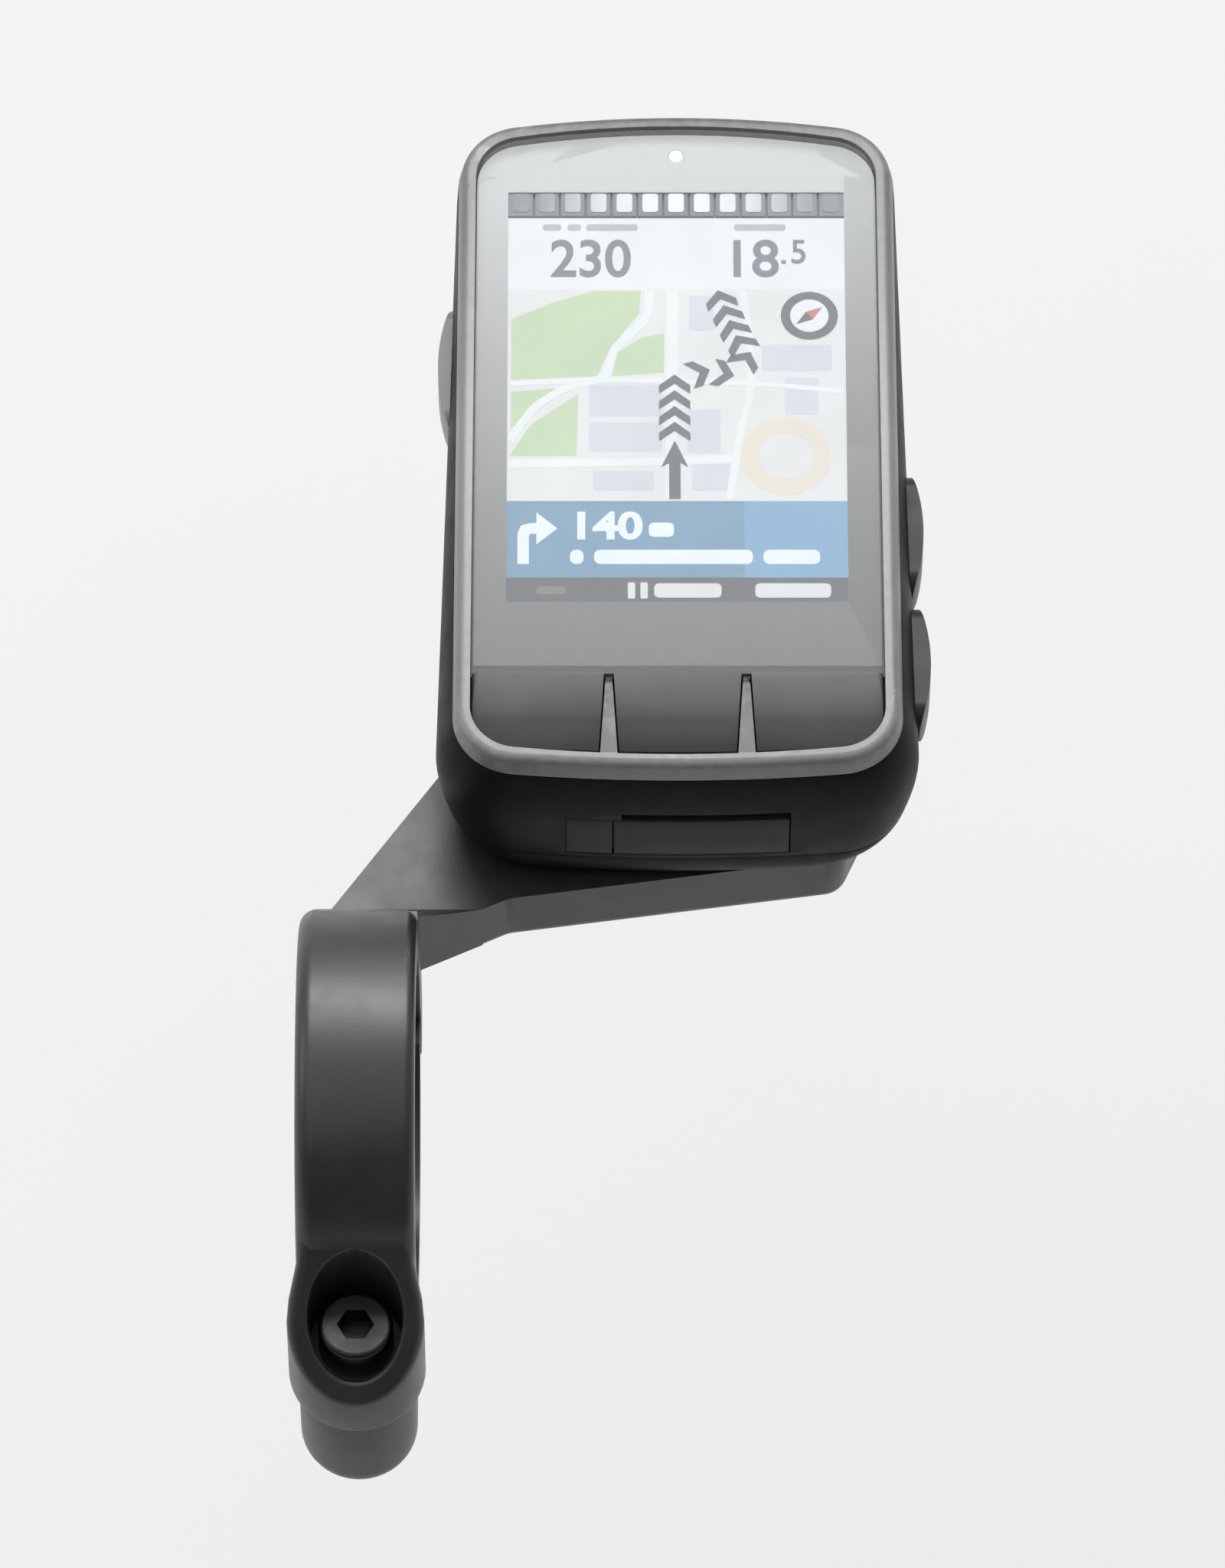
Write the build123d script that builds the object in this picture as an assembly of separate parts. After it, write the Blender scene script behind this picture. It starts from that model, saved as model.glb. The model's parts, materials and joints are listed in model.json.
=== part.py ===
from build123d import *
import os
from math import cos, hypot, radians, sin

# A bicycle computer on its out-front handlebar mount, in millimetres.
# The origin is the centre of the handlebar clamp. +X runs along the bar to the rider's right,
# +Y points forward, away from the rider, and +Z is up. The head unit sits in front of the bar
# with its display facing up, and twists off the mount about a vertical axis.

# ---------------------------------------------------------------- driving dimensions
BAR_R = 15.9             # 31.8 mm handlebar
CLAMP_W = 11.1           # width of the clamp band along the bar
CLAMP_R = 19.9           # outer radius of the clamp band
BAND_ROUND = (1.7, 1.0)  # rounding of its left and right rims
JAW_W = 11.0
SPLIT_Z = -8.0           # underside of the upper clamp half
SPLIT_GAP = 0.7          # gap between the halves when the bolt is tight
BOLT_Y = -22.6           # M4 clamp bolt, behind the bar
BOLT_R = 1.95
BOLT_HEAD_R = 3.5
BOLT_SEAT_Z = -2.2
POCKET_R = 4.4           # round pocket that the bolt head sits in
SLOPE_TOP = (-17.0, 9.2)      # y and z of the bolt column's sloping top, front end
SLOPE_FOOT = (-29.2, -2.5)
HINGE_Y, HINGE_Z = 19.0, -14.0
HINGE_PIN_R = 1.5
KNUCKLE_R = 3.3
KNUCKLE_HALF = 2.4       # half width of the jaw's middle knuckle

HEAD_X, HEAD_Y = 30.0, 65.0   # twist axis of the head unit
RIM_NEAR_W = 42.5        # width of the front rim at the rider's end
RIM_FAR_W = 42.0
RIM_L = 74.5
NEAR_BULGE = 1.3         # how far the curved ends stand out at the middle
FAR_BULGE = 2.0
RIM_TOP = 18.0
FRAME_Z = 15.8           # joint between main case and front frame
SEAM_Z = 3.4             # joint between main case and rear cover
WALL = 2.0
RIM_T = 1.65             # from the case joint's outline in to the edge of the glass
SEAM = 0.08              # drawn gap at each case joint

WINDOW_W = 32.5          # lit area: display with the light bar above it
DISPLAY_NEAR, DISPLAY_FAR = 19.3, 63.1     # measured from the rider's end of the rim
LIGHT_BAR_FAR = 66.1
LENS_NEAR = 11.3         # edge between the front keys and the lens
SENSOR_AT = 70.3
KEY_SPLIT = 6.5          # half the middle key's pitch width
KEY_RIB_W = (0.6, 1.8)    # ribs of the frame between the keys, at the lens and at the rim
TROUGH_R = 15.0          # hollow along the tops of the keys
KEY_Y = 6.4              # pushers and domes under the keys, from the rider's end of the rim
KEY_TRAVEL = 0.4
MEMBRANE_Z = (13.7, 14.1)
FIT = 0.15               # general clearance round a moving key

BUTTON_Z = 9.6
BUTTON_H = 5.0
BUTTON_TRAVEL = 0.4
SWITCH_Z = 11.2
POWER_SPAN = (4.4, 19.0)       # along the head, from the twist axis
UP_SPAN = (-13.9, -0.1)
DOWN_SPAN = (-28.6, -15.0)

FLAP_Z = (4.1, 10.5)
FLAP_HINGE_X = -6.1
FLAP_LEFT, FLAP_RIGHT = -10.6, 10.7
FLAP_DEPTH = 1.6
END_Y = -RIM_L / 2 - 1.25      # end face nearest the rider, at its widest
PORT_X = 2.4
PORT_Z = 7.4

BOSS_R = 10.4            # quarter-turn boss under the head unit
LUG_R = 12.9
BOSS_H = 3.0
LUG_T = 1.35
LUG_GAP = 0.25           # clearance round the boss and lugs in the socket
PLATE_TOP = -0.5
PLATE_BOTTOM = -8.2
PLATE_R = 19.0
INSERT_R = 16.5          # quarter-turn socket set into the plate
INSERT_BOTTOM = -6.0
COLUMN_R = 6.4           # bolt column behind the bar
PORT_HALF_W, PORT_HALF_H = 4.75, 1.85

HEAD = Location((HEAD_X, HEAD_Y, 0))


def along(v):
    """Place along the head, from the rider's end of the rim, as a local Y."""
    return v - RIM_L / 2


def box_between(x0, x1, y0, y1, z0, z1):
    return Pos((x0 + x1) / 2, (y0 + y1) / 2, (z0 + z1) / 2) * Box(x1 - x0, y1 - y0, z1 - z0)


def rod_z(x, y, z0, z1, r):
    return Pos(x, y, (z0 + z1) / 2) * Cylinder(r, z1 - z0)


def rod_x(y, z, x0, x1, r):
    return Pos((x0 + x1) / 2, y, z) * Rot(0, 90, 0) * Cylinder(r, x1 - x0)


def round_box(x0, x1, y0, y1, z0, z1, r):
    """A block with its four upright edges rounded."""
    block = box_between(x0, x1, y0, y1, z0, z1)
    return fillet(block.edges().filter_by(Axis.Z), r)


# ---------------------------------------------------------------- case outlines

def outline(sides, end, corner, z):
    """Plan outline of the case at height z, grown from the rim by sides (near, far) and end."""
    near_w, far_w = RIM_NEAR_W / 2 + sides[0], RIM_FAR_W / 2 + sides[1]
    near_y, far_y = -RIM_L / 2 - end, RIM_L / 2 + end
    with BuildSketch(Plane.XY.offset(z)) as sketch:
        with BuildLine():
            Line((-far_w, far_y - FAR_BULGE), (-near_w, near_y + NEAR_BULGE))
            ThreePointArc((-near_w, near_y + NEAR_BULGE), (0, near_y), (near_w, near_y + NEAR_BULGE))
            Line((near_w, near_y + NEAR_BULGE), (far_w, far_y - FAR_BULGE))
            ThreePointArc((far_w, far_y - FAR_BULGE), (0, far_y), (-far_w, far_y - FAR_BULGE))
        make_face()
        fillet(sketch.vertices(), corner)
    return sketch.sketch


def slab(side, end, corner, z0, z1):
    return extrude(outline((side, side), end, corner, z0), z1 - z0)


# Each section is (growth of the sides at the near and far end, growth of the ends, corner radius, height).
OUTER = [
    ((1.0, -0.5), 1.1, 7.4, SEAM_Z),
    ((1.65, 0.1), 1.25, 7.4, 7.0),
    ((1.8, 0.2), 1.25, 7.2, 10.0),
    ((0.05, 0.05), 0.05, 6.2, FRAME_Z),
]
UNDER = [((-2.8, -4.5), 0.4, 6.6, 0.0), ((-0.2, -1.9), 1.0, 7.2, 1.3), ((1.0, -0.5), 1.1, 7.4, SEAM_Z)]
RIM = [((0.05, 0.05), 0.05, 6.2, FRAME_Z), ((-0.4, -0.4), -0.4, 5.7, RIM_TOP)]


def lofted(sections):
    return loft([outline(*section) for section in sections])


def inner(sections, wall):
    return [((n - wall, f - wall), e - wall, c - wall, z) for (n, f), e, c, z in sections]


# ---------------------------------------------------------------- head: casings

VENT_Y = 24.0
CASE_SCREWS = [(x, y) for x in (-15.0, 15.0) for y in (-30.0, 30.0)]


def flap_block(x0, x1, z0, z1, depth):
    return box_between(x0, x1, END_Y - 1.5, END_Y + depth, z0, z1)


def button_slot(side, span, grow, x0, x1):
    """A rounded bar along the side of the case: the hole for, or the body of, a side button."""
    length = span[1] - span[0] + 2 * grow
    height = BUTTON_H + 2 * grow
    with BuildSketch(Plane.YZ) as sketch:
        with Locations(((span[0] + span[1]) / 2, BUTTON_Z)):
            RectangleRounded(length, height, min(2.2 + grow, height / 2 - 0.05))
    bar = extrude(sketch.sketch, x1 - x0)
    bar = Pos(x0, 0, 0) * bar
    return bar if side > 0 else mirror(bar, Plane.YZ)


# side, span, outer face of the flange and crown of the button, from the centre line
SIDE_BUTTONS = {
    "power_button": (-1, POWER_SPAN, 19.35, 23.0),
    "up_button": (1, UP_SPAN, 19.85, 23.6),
    "down_button": (1, DOWN_SPAN, 20.2, 24.1),
}


def make_main_case():
    case = lofted(OUTER)
    case -= lofted(inner(OUTER, WALL))
    # thicker wall behind the charging port
    block = box_between(-12.0, 12.0, END_Y + 1.0, END_Y + 4.0, SEAM_Z + 0.6, 11.9)
    case += block & lofted(OUTER)
    case -= flap_block(FLAP_LEFT, FLAP_RIGHT, *FLAP_Z, FLAP_DEPTH)
    case -= flap_block(FLAP_HINGE_X + 0.8, FLAP_RIGHT, FLAP_Z[1], FLAP_Z[1] + 0.9, 1.1)
    port = round_box(-PORT_HALF_W, PORT_HALF_W, -PORT_HALF_H, PORT_HALF_H, 0, 6, 1.8)
    case -= Pos(PORT_X, END_Y - 0.5, PORT_Z) * Rot(-90, 0, 0) * port
    for side, span, _, _ in SIDE_BUTTONS.values():
        case -= button_slot(side, span, FIT, 17.0, 26.0)
    # screw bosses, each tied to the end wall and the side wall by a rib
    for x, y in CASE_SCREWS:
        out_x, out_y = (1 if x > 0 else -1), (1 if y > 0 else -1)
        boss = rod_z(x, y, SEAM_Z, 8.6, 2.4)
        boss += Pos(x + out_x * 3, y, 6.0) * Box(6, 1.2, 5.2)
        boss += Pos(x, y + out_y * 3, 6.0) * Box(1.2, 6, 5.2)
        case += boss & lofted(OUTER)
    for x, y in CASE_SCREWS:
        case -= rod_z(x, y, SEAM_Z - 1, 8.0, 0.8)
    # ledge that the display chassis rests on, between the side buttons
    ledge = slab(0, 0, 6.0, 12.0, 12.6) - slab(-2.6, -2.6, 4.0, 11.9, 12.7)
    for side, span, _, _ in SIDE_BUTTONS.values():
        ledge -= box_between(*sorted((side * 14, side * 26)), span[0] - 1, span[1] + 1, 11, 13)
    case += ledge & lofted(OUTER)
    return case - seal_ring(0, 0.45)


def seal_ring(inset, height):
    """Ring of the groove in the case's lower edge, or of the gasket that lies in it."""
    near, far = OUTER[0][0]
    outer = outline((near - 0.7 - inset, far - 0.7 - inset), 0.4 - inset, 6.7 - inset, SEAM_Z)
    hole = outline((near - 1.3 + inset, far - 1.3 + inset), -0.2 + inset, 6.1 + inset, SEAM_Z)
    return extrude(outer - hole, height)


def make_case_gasket():
    return seal_ring(0.05, 0.43)


def lug(centre_deg, half_deg, r, z0, z1):
    """A sector of a disc, for the quarter-turn lugs and the notches they pass through."""
    angles = [radians(centre_deg + step * half_deg) for step in (-1, 0, 1)]
    start, mid, end = [(r * cos(a), r * sin(a)) for a in angles]
    with BuildSketch(Plane.XY.offset(z0)) as sketch:
        with BuildLine():
            Line((0, 0), start)
            ThreePointArc(start, mid, end)
            Line(end, (0, 0))
        make_face()
    return extrude(sketch.sketch, z1 - z0)


def make_rear_cover():
    cover = lofted(UNDER)
    cover -= extrude(outline((-1.6, -3.1), -1.6, 5.6, 1.6), SEAM_Z)
    cover = cover & box_between(-40, 40, -60, 60, -1, SEAM_Z - SEAM)
    cover += rod_z(0, 0, -BOSS_H, 1.6, BOSS_R)
    for centre in (0, 180):
        cover += lug(centre, 28, LUG_R, -BOSS_H, -BOSS_H + LUG_T)
    cover -= rod_z(0, 0, -BOSS_H - 0.1, -1.0, BOSS_R - 3.4)
    cover += rod_z(0, 0, -BOSS_H + 0.6, -0.9, 2.2)
    for x, y in CASE_SCREWS:
        cover += rod_z(x, y, 1.0, SEAM_Z - SEAM, 3.0) & lofted(UNDER)
        cover -= rod_z(x, y, -1, 1.6, 2.1) + rod_z(x, y, -1, SEAM_Z, 1.15)
    # pressure vent: three pin holes over the membrane
    for dx in (-1.6, 0, 1.6):
        cover -= rod_z(dx, VENT_Y, -1, 3, 0.4)
    # recessed channels each side of the boss
    for side in (-1, 1):
        cover -= round_box(-8, 8, side * 19 - 1.2, side * 19 + 1.2, -1, 0.4, 1.1)
    return cover


def key_ribs(grow):
    """Plan of the two ribs between the keys, widening towards the rider."""
    far, near = (w / 2 + grow for w in KEY_RIB_W)
    y0, y1 = along(0.9), along(LENS_NEAR + grow)
    ribs = []
    for x in (-KEY_SPLIT, KEY_SPLIT):
        with BuildSketch(Plane.XY.offset(FRAME_Z - 1)) as plan:
            with BuildLine():
                Polyline((x - near, y0), (x + near, y0), (x + far, y1), (x - far, y1), close=True)
            make_face()
        ribs.append(extrude(plan.sketch, 4))
    return Compound(ribs)


def make_front_frame():
    frame = lofted(RIM)
    frame = frame & box_between(-40, 40, -60, 60, FRAME_Z + SEAM, RIM_TOP + 1)
    top_edges = frame.faces().sort_by(Axis.Z)[-1].edges()
    frame = fillet(top_edges, 0.9)
    frame -= slab(-RIM_T, -RIM_T, 4.6, 16.3, RIM_TOP + 1)
    opening = slab(-3.0, -3.0, 3.6, FRAME_Z - 1, RIM_TOP)
    frame -= opening & box_between(-30, 30, along(14.2), 60, 0, 40)
    keys = slab(-RIM_T, -RIM_T, 4.6, FRAME_Z - 1, RIM_TOP + 1)
    frame -= keys & box_between(-30, 30, -60, along(LENS_NEAR - 0.1), 0, 40)
    with BuildSketch(Plane.YZ.offset(-10)) as side_view:
        with BuildLine():
            Polyline(
                (along(0.9), FRAME_Z + SEAM), (along(0.9), 17.5), (along(5.0), 17.35),
                (along(10.2), 16.9), (along(LENS_NEAR), 16.3),
                (along(LENS_NEAR), FRAME_Z + SEAM), close=True,
            )
        make_face()
    return frame + (extrude(side_view.sketch, 20) & key_ribs(0))


# ---------------------------------------------------------------- head: display stack

LENS_BOTTOM, LENS_TOP = 16.65, 17.8


def lens_plan(inset, z0, z1):
    shape = slab(-RIM_T - 0.06 - inset, -RIM_T - 0.06 - inset, 4.5, z0, z1)
    return shape & box_between(-30, 30, along(LENS_NEAR) + inset, 60, 0, 40)


def make_cover_lens():
    lens = lens_plan(0, LENS_BOTTOM, LENS_TOP)
    return chamfer(lens.faces().sort_by(Axis.Z)[-1].edges(), 0.2)


def window(v0, v1, z0, z1, half_w=WINDOW_W / 2):
    return box_between(-half_w, half_w, along(v0), along(v1), z0, z1)


def make_lens_mask():
    mask = lens_plan(0.05, 16.52, LENS_BOTTOM)
    mask -= window(DISPLAY_NEAR, LIGHT_BAR_FAR, 16, 17)
    return mask - rod_z(0, along(SENSOR_AT), 16, 17, 0.75)


def make_lens_gasket():
    return lens_plan(0.25, 16.32, 16.5) - lens_plan(1.1, 16, 17)


def make_lcd_panel():
    glass = window(DISPLAY_NEAR - 2.6, DISPLAY_FAR + 0.15, 14.9, 16.2, 17.4)
    face = window(DISPLAY_NEAR - 0.4, DISPLAY_FAR + 0.1, 16.2, 16.4, WINDOW_W / 2 + 0.3)
    return glass + face


def make_backlight_unit():
    return round_box(-17.3, 17.3, along(17.5), along(DISPLAY_FAR), 13.7, 14.85, 0.6)


def make_display_chassis():
    plate = slab(-2.3, -2.3, 4.2, 12.65, 13.65)
    plate -= round_box(-14, 14, along(22), along(50.5), 12, 14, 3)
    plate -= round_box(-7, 7, along(53.8), along(67.6), 12, 14, 1.5)
    plate -= round_box(-8, 8, along(14.4), along(16.6), 12, 14, 0.8)
    return plate


def make_display_flex():
    """Ribbon cable: out of the display's near edge, down through the chassis and back to the board."""
    path = [(along(16.5), 15.4), (along(15.5), 15.4), (along(15.5), 10.75), (along(19.0), 10.75)]
    low = [(along(19.0), 10.6), (along(15.35), 10.6), (along(15.35), 15.55), (along(16.5), 15.55)]
    with BuildSketch(Plane.YZ.offset(-6)) as side_view:
        with BuildLine():
            Polyline(*path, *low, close=True)
        make_face()
    return extrude(side_view.sketch, 12)


LIGHT_COUNT = 13
LIGHT_PITCH = WINDOW_W / LIGHT_COUNT


def make_led_light_bar():
    bar = window(DISPLAY_FAR + 0.35, LIGHT_BAR_FAR + 0.2, 15.75, 16.45)
    for i in range(1, LIGHT_COUNT):
        x = -WINDOW_W / 2 + i * LIGHT_PITCH
        bar -= box_between(x - 0.12, x + 0.12, along(DISPLAY_FAR), along(LIGHT_BAR_FAR), 16.1, 17)
    return bar


def make_led_board():
    board = window(DISPLAY_FAR + 0.3, SENSOR_AT + 0.9, 14.0, 14.7, 16.6)
    for i in range(LIGHT_COUNT):
        x = -WINDOW_W / 2 + (i + 0.5) * LIGHT_PITCH
        y = along((DISPLAY_FAR + LIGHT_BAR_FAR) / 2)
        board += box_between(x - 0.7, x + 0.7, y - 0.5, y + 0.5, 14.6, 15.4)
    return board


def make_light_sensor():
    y = along(SENSOR_AT)
    body = box_between(-1.1, 1.1, y - 0.9, y + 0.9, 14.75, 15.5)
    return body + rod_z(0, y, 15.4, 16.6, 0.7)


# ---------------------------------------------------------------- head: keys and buttons

# growth of the sides and ends, corner radius and height of the keys' rounded shoulder
KEY_SHOULDER = [(-1.8, 4.4, 16.3), (-1.9, 4.35, 16.8), (-2.35, 4.2, 17.3), (-3.3, 4.0, 17.7)]


def make_front_key(x0, x1, centre):
    plan = lofted([((grow, grow), grow, corner, z) for grow, corner, z in KEY_SHOULDER])
    plan += slab(-2.4, -2.4, 5.2, 15.5, 16.3)
    key = plan & box_between(x0, x1, -60, along(LENS_NEAR) - 0.25, 0, 40)
    key = key - key_ribs(FIT) - box_between(x0 - 1, x1 + 1, along(10.9), 60, 0, 15.9)
    # shallow trough along the row of keys
    key -= rod_x(along(6.4), 16.7 + TROUGH_R, -30, 30, TROUGH_R)
    pusher = rod_z(centre, along(KEY_Y), MEMBRANE_Z[1] + KEY_TRAVEL + 0.05, 15.6, 1.4)
    return key + pusher


KEY_CENTRES = (-13.0, 0.0, 13.0)
KEYS = {
    "front_key_left": (-30, -KEY_SPLIT, KEY_CENTRES[0]),
    "front_key_centre": (-KEY_SPLIT, KEY_SPLIT, KEY_CENTRES[1]),
    "front_key_right": (KEY_SPLIT, 30, KEY_CENTRES[2]),
}


def make_key_membrane():
    return slab(-2.6, -2.6, 3.8, *MEMBRANE_Z) & box_between(-30, 30, -60, along(12.4), 0, 40)


def make_key_board():
    return round_box(-17.5, 17.5, along(3.2), along(11.8), 10.8, 11.4, 1.5)


def make_key_domes():
    """Three snap domes on the key board, one under each key."""
    cap = (Sphere(6.0) - Sphere(5.85)) & Pos(0, 0, 6.0) * Box(5, 5, 1.6)
    return Compound([Pos(x, along(KEY_Y), 6.3) * cap for x in KEY_CENTRES])


BULGE_R = 21.0


def make_side_button(side, span, flange_x, crown):
    """Bulged outer face, a rounded body through the wall, a flange and a nub inside."""
    middle = (span[0] + span[1]) / 2
    bulge = Pos(side * (crown - BULGE_R), middle, BUTTON_Z) * Cylinder(BULGE_R, 20)
    body = button_slot(side, span, 0, flange_x - 0.1, 25.5) & bulge
    flange = button_slot(side, span, 0.5, flange_x - 0.5, flange_x)
    nub_ends = sorted((side * (flange_x - 1.0), side * (flange_x - 0.45)))
    return body + flange + rod_x(middle, SWITCH_Z, *nub_ends, 1.0)


def make_button_seals():
    """Soft gasket round each side button, between its flange and the case wall."""
    cavity = lofted(inner(OUTER, WALL))
    seals = []
    for side, span, flange_x, _ in SIDE_BUTTONS.values():
        ring = button_slot(side, span, 0.45, flange_x + 0.02, 22.0) - button_slot(side, span, FIT, 19, 23)
        seals.append(ring & cavity)
    return Compound(seals)


def make_side_switches():
    switches = []
    for side, span, flange_x, _ in SIDE_BUTTONS.values():
        middle = (span[0] + span[1]) / 2
        nub_end = flange_x - 1.05 - BUTTON_TRAVEL
        x0, x1 = sorted((side * (nub_end - 3.0), side * (nub_end - 0.5)))
        n0, n1 = sorted((side * (nub_end - 0.6), side * nub_end))
        body = box_between(x0, x1, middle - 2.6, middle + 2.6, 10.22, 12.4)
        switches.append(body + rod_x(middle, SWITCH_Z, n0, n1, 0.8))
    return Compound(switches)


# ---------------------------------------------------------------- head: electronics

BOARD_Z = (9.2, 10.2)


def make_main_board():
    board = slab(-2.6, -4.5, 4.5, *BOARD_Z)
    for x, y in CASE_SCREWS:
        board -= rod_z(x, y, 9, 11, 1.1)
    # room for the power button's flange when it is pressed
    return board - box_between(-20, -18.2, POWER_SPAN[0] - 1, POWER_SPAN[1] + 1, 9, 11)


def make_board_chips():
    """Processor, memory, radio and power chips, as separate solids on the top of the board."""
    # x, y, width, depth, height
    chips = [
        (-8, -6, 9, 9, 1.0), (4, -7, 6, 8, 0.9), (-9, 6, 5, 5, 0.8),
        (-2, 7, 4, 4, 0.8), (11, -8, 4, 5, 0.7),
    ]
    top = BOARD_Z[1]
    solids = []
    for x, y, w, d, h in chips:
        solids.append(box_between(x - w / 2, x + w / 2, y - d / 2, y + d / 2, top, top + h))
    return Compound(solids)


def make_shield_can():
    can = round_box(4.5, 14.5, 1.0, 13.0, BOARD_Z[1], 12.0, 0.8)
    return can - round_box(4.7, 14.3, 1.2, 12.8, BOARD_Z[1] - 0.1, 11.8, 0.6)


def make_gnss_antenna():
    patch = box_between(-6, 6, 17.5, 29.5, BOARD_Z[1], 13.2)
    return chamfer(patch.edges().filter_by(Axis.Z), 0.8)


def make_wireless_antenna():
    return box_between(-15.5, -8.5, 25.5, 27.5, BOARD_Z[1], 11.4)


def make_pressure_sensor():
    top = BOARD_Z[0]
    base = box_between(-1.6, 1.6, VENT_Y - 1.6, VENT_Y + 1.6, top - 0.6, top)
    return base + rod_z(0, VENT_Y, top - 1.2, top, 1.5)


def make_vent_membrane():
    return rod_z(0, VENT_Y, 1.62, 1.9, 3.0)


def make_buzzer():
    return rod_z(-7.2, 28, BOARD_Z[0] - 1.8, BOARD_Z[0], 4.2) - rod_z(-7.2, 28, 7, 7.9, 0.8)


BATTERY = (-14.5, 14.5, -26.0, 19.0, 2.6, 8.2)


def make_battery():
    x0, x1, y0, y1, z0, z1 = BATTERY
    pouch = box_between(x0, x1, y0, y1, z0, z1)
    pouch = fillet(pouch.edges().filter_by(Axis.Y), 1.6)
    return pouch + box_between(x0 + 1, x1 - 1, y1, y1 + 1.9, 5.0, 6.4)


def make_battery_pad():
    x0, x1, y0, y1, z0, _ = BATTERY
    return box_between(x0 + 3, x1 - 3, y0 + 3, y1 - 3, 1.65, z0)


def make_battery_plug():
    return box_between(8.0, 13.0, 25.2, 28.0, BOARD_Z[0] - 2.2, BOARD_Z[0])


def make_battery_cable():
    """Three insulated leads from the pouch's folded end to the plug under the board."""
    leads = []
    for x in (9.2, 10.5, 11.8):
        path = Spline([(x, 21.05, 5.7), (x, 22.4, 5.7), (x, 23.6, 7.2), (x, 25.15, 8.0)])
        leads.append(sweep(Plane(origin=path @ 0, z_dir=path % 0) * Circle(0.45), path))
    return Compound(leads)


def make_usb_connector():
    y0, y1 = END_Y + 2.1, END_Y + 9.4
    shell = round_box(-4.47, 4.47, -1.58, 1.58, 0, y1 - y0, 1.5)
    hollow = round_box(-4.17, 4.17, -1.28, 1.28, -0.5, y1 - y0 - 0.8, 1.2)
    tongue = box_between(-3.4, 3.4, -0.35, 0.35, 0.9, y1 - y0 - 0.5)
    body = shell - hollow + tongue
    placed = Pos(PORT_X, y0, PORT_Z) * Rot(-90, 0, 0) * body
    feet = box_between(PORT_X - 4.0, PORT_X + 4.0, y1 - 2.5, y1, PORT_Z + 1.4, BOARD_Z[0])
    return placed + feet


def make_usb_cover():
    """Rubber flap flush with the end face, with a plug that fills the charging port."""
    low, high = FLAP_Z[0] + 0.12, FLAP_Z[1] - 0.12
    block = flap_block(FLAP_HINGE_X + 0.1, FLAP_RIGHT - FIT, low, high, FLAP_DEPTH - 0.1)
    skin = lofted(OUTER) & block
    plug = round_box(-3.9, 3.9, -1.1, 1.1, 0, 1.5, 1.05)
    return skin + Pos(PORT_X, END_Y + FLAP_DEPTH - 0.2, PORT_Z) * Rot(-90, 0, 0) * plug


def make_usb_cover_anchor():
    low, high = FLAP_Z[0] + 0.05, FLAP_Z[1] - 0.05
    block = flap_block(FLAP_LEFT + 0.05, FLAP_HINGE_X - 0.1, low, high, FLAP_DEPTH)
    return lofted(OUTER) & block


def make_case_screws():
    screws = []
    for x, y in CASE_SCREWS:
        screw = rod_z(x, y, 0.5, 1.6, 1.9) + rod_z(x, y, 1.5, 7.0, 0.78)
        screws.append(screw - rod_z(x, y, 0.4, 1.0, 0.7))
    return Compound(screws)


# ---------------------------------------------------------------- mount

INSERT_SCREWS = [(HEAD_X + dx, HEAD_Y) for dx in (-8.0, 8.0)]


def bar_space():
    """What the handlebar needs: a round bore."""
    return rod_x(0, 0, -40, 40, BAR_R)


def clamp_band(width):
    """Full ring stock round the bar, before it is split, with rounded rims."""
    band = rod_x(0, 0, -width / 2, width / 2, CLAMP_R)
    for side, radius in zip((0, -1), BAND_ROUND):
        rim = band.edges().filter_by(GeomType.CIRCLE).sort_by(Axis.X)[side]
        band = fillet(rim, radius)
    return band


def arm_plan(z0, z1):
    """Plan of the arm and of the plate under the head unit."""
    cx, cy, r = HEAD_X, HEAD_Y, PLATE_R
    reach, drop = r * cos(radians(15)), r * sin(radians(15))
    left, right = (cx - reach, cy - drop), (cx + reach, cy - drop)
    with BuildSketch(Plane.XY.offset(z0)) as plan:
        with BuildLine():
            ThreePointArc(left, (cx, cy + r), right)
            Polyline(
                right, (48.0, 34.5), (45.6, 29.0), (14.0, 24.5), (CLAMP_W / 2, 20.5),
                (CLAMP_W / 2, 13.0), (-CLAMP_W / 2, 13.0), (-5.5, 19.5), (9.97, 42.0), left,
            )
        make_face()
        fillet(plan.vertices().filter_by(lambda p: 22 < p.Y < 50), 2.5)
    return extrude(plan.sketch, z1 - z0)


def make_plate():
    plate = arm_plan(PLATE_BOTTOM, PLATE_TOP)
    bottom = plate.faces().sort_by(Axis.Z)[0]
    return fillet(bottom.edges().filter_by(lambda e: e.center().Y > 24), 1.6)


def column_stock(r, band_half):
    """Upright stock round the bolt that widens smoothly from the clamp band."""
    with BuildSketch(Plane.XY.offset(-30)) as plan:
        with BuildLine():
            ThreePointArc((-r, BOLT_Y), (0, BOLT_Y - r), (r, BOLT_Y))
            Polyline((r, BOLT_Y), (r - 0.2, BOLT_Y + 1.6), (band_half, BOLT_Y + 4.2), (band_half, -10))
            Polyline((band_half, -10), (-band_half, -10), (-band_half, BOLT_Y + 4.2))
            Polyline((-band_half, BOLT_Y + 4.2), (0.2 - r, BOLT_Y + 1.6), (-r, BOLT_Y))
        make_face()
    return extrude(plan.sketch, 60)


def on_pocket_lip(edge):
    points = [edge.position_at(t) for t in (0.0, 0.5, 1.0)]
    reach = [abs(hypot(p.X, p.Y - BOLT_Y) - POCKET_R) for p in points]
    return max(reach) < 0.01 and min(p.Z for p in points) > BOLT_SEAT_Z + 0.5


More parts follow.
